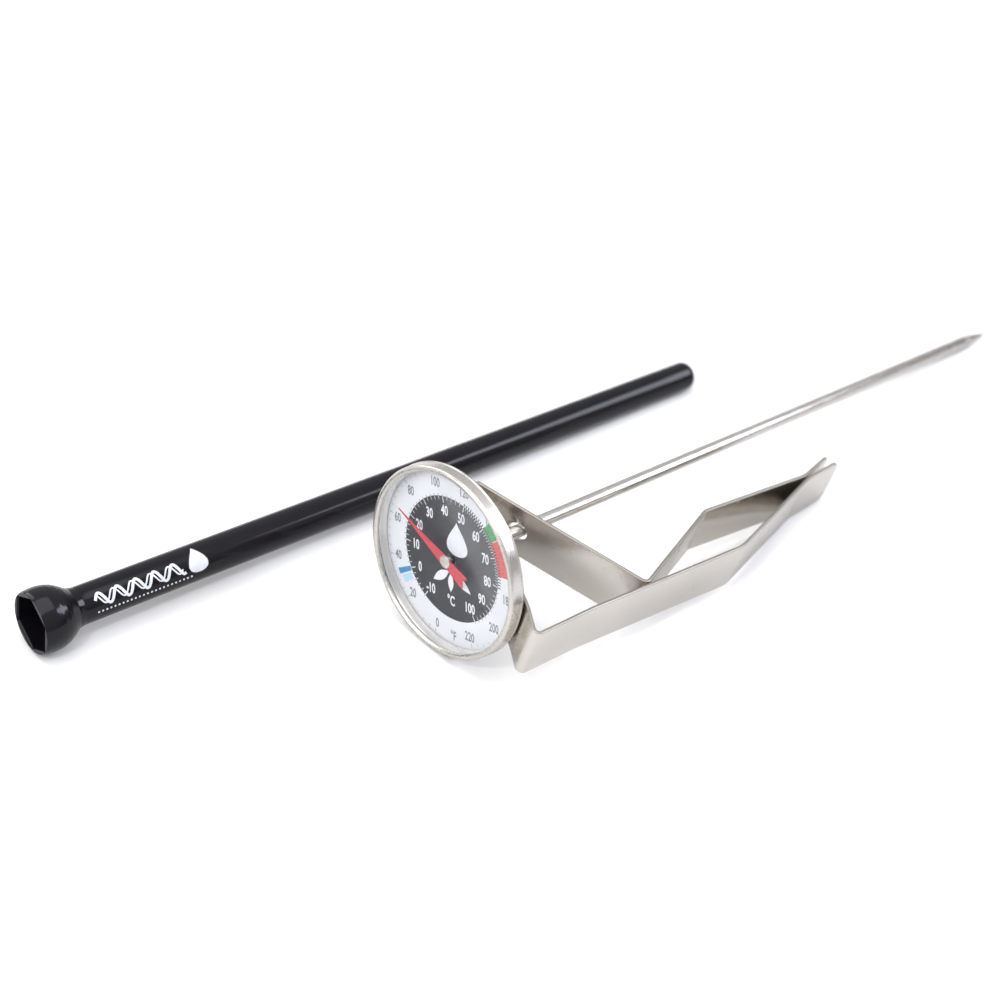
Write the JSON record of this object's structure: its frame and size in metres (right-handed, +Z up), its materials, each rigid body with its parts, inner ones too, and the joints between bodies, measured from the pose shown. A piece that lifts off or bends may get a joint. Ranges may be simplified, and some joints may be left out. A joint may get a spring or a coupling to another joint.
{
  "type": "dial thermometer",
  "caption": "Dial thermometer with a thin pointed stem, a round glazed dial with a red pointer, a folded steel strip clip and a black sheath that ends in a hexagon socket.",
  "frame": {"origin": "middle of the footprint of the whole set, on the table it lies on", "axes": "+Z up from the table; +Y level, from the dial end towards the stem's tip; +X to the right when looking at the dial. The stem itself falls 6.6 degrees from the dial to its tip"},
  "size_m": [0.0886, 0.259, 0.044],
  "materials": {
    "bezel_steel": "polished stainless with a faint turned grain",
    "strip_steel": "rolled stainless strip, satin, handled",
    "stem_steel": "drawn stainless tube, bright",
    "lens_clear": "clear flat lens",
    "gasket_white": "white sealing ring",
    "dial_print": "printed aluminium plate, satin",
    "pointer_red": "red enamel",
    "brass_parts": "plain brass",
    "bimetal": "two-layer spring strip",
    "guide_ptfe": "white low-friction plastic",
    "sheath_black": "moulded black plastic, glossy"
  },
  "bodies": {
    "stem": {"stem_tube": "stem_steel", "stem_tip": "stem_steel", "upper_bush": "guide_ptfe", "middle_guide": "guide_ptfe", "lower_bush": "guide_ptfe", "coil_anchor": "brass_parts", "bimetal_coil": "bimetal"},
    "nut": {"hex_nut": "bezel_steel", "retaining_ring": "bezel_steel", "friction_washer": "brass_parts"},
    "head": {"case_back": "bezel_steel", "bezel": "bezel_steel", "lens": "lens_clear", "lens_gasket": "gasket_white", "dial_plate": "dial_print", "dial_support_ring": "brass_parts"},
    "pointer": {"pointer": "pointer_red", "pointer_hub": "bezel_steel", "pointer_shaft": "stem_steel", "coil_collar": "brass_parts"},
    "clip": {"clip_outer_arm": "strip_steel"},
    "jaw": {"clip_inner_arm": "strip_steel"},
    "sheath": {"sheath": "sheath_black"}
  },
  "joints": [
    {"name": "stem_turn", "type": "hinge", "parent": "stem", "child": "nut", "pos_m": [0.01327, -0.04951, 0.02123], "axis": [0, 0.9934, -0.1149], "continuous": true},
    {"name": "head_turn", "type": "hinge", "parent": "nut", "child": "head", "pos_m": [0.01327, -0.05105, 0.02141], "axis": [0, 0.9934, -0.1149], "continuous": true},
    {"name": "pointer_turn", "type": "hinge", "parent": "nut", "child": "pointer", "pos_m": [0.01327, -0.05569, 0.02195], "axis": [0, 0.9934, -0.1149], "range_deg": [-102.7, 223.6]},
    {"name": "clip_slide", "type": "slide", "parent": "stem", "child": "clip", "axis": [0, 0.9934, -0.1149], "range_m": [0, 0.145]},
    {"name": "jaw_open", "type": "hinge", "parent": "clip", "child": "jaw", "pos_m": [0.00052, -0.03953, 0.02261], "axis": [0.1935, 0.1128, 0.9746], "range_deg": [0, 4], "stiffness_Nm_per_rad": 0.2},
    {"name": "sheath_slide", "type": "slide", "parent": "stem", "child": "sheath", "axis": [0.1057, 0.9944, 0], "range_m": [-0.05, 0.05]}
  ]
}
